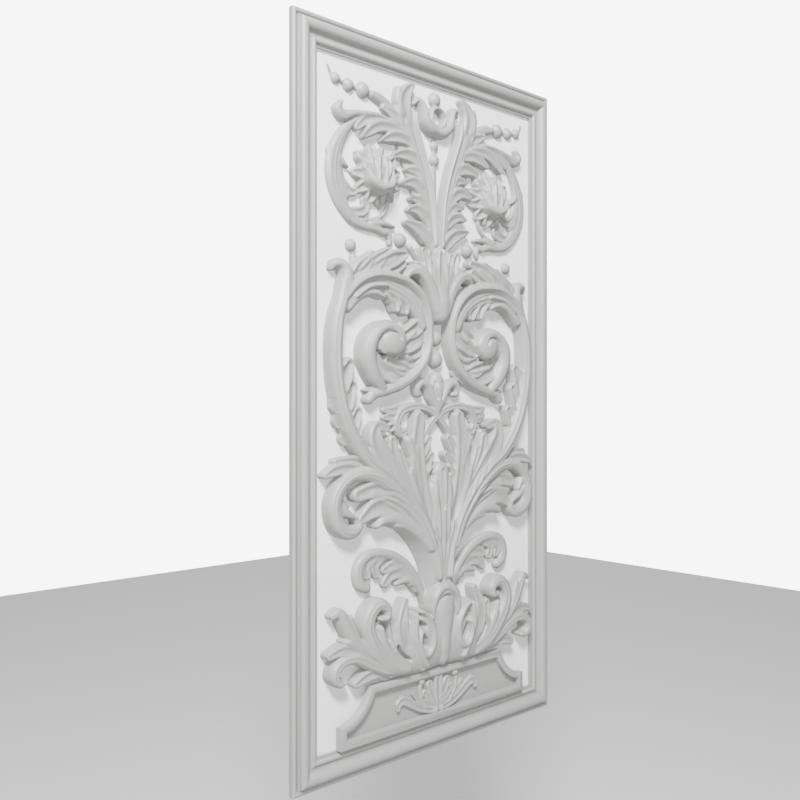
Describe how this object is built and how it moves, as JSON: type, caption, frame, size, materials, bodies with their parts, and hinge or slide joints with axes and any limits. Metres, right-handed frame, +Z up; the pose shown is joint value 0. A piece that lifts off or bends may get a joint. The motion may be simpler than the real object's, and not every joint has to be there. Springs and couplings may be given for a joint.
{
  "type": "carved wall panel",
  "caption": "Tall moulded wall panel with a symmetrical carving of scrolls, leaves and flowers rising from a plinth.",
  "frame": {"origin": "middle of the ground board's flat back face, which rests on the wall", "axes": "+Z up along the panel's height, +Y into the wall, so the carved front faces -Y"},
  "size_m": [0.618, 0.0448, 1.2],
  "materials": {
    "board_paint": "painted",
    "frame_paint": "painted",
    "carving_paint": "painted"
  },
  "bodies": {
    "root": {"ground_board": "board_paint", "frame_top": "frame_paint", "frame_bottom": "frame_paint", "frame_left": "frame_paint", "frame_right": "frame_paint", "plinth": "carving_paint", "carving": "carving_paint", "bead_upper": "carving_paint", "bead_lower": "carving_paint", "ball_calyx_left": "carving_paint", "ball_calyx_right": "carving_paint", "ball_stem_left": "carving_paint", "ball_stem_right": "carving_paint"}
  },
  "joints": []
}
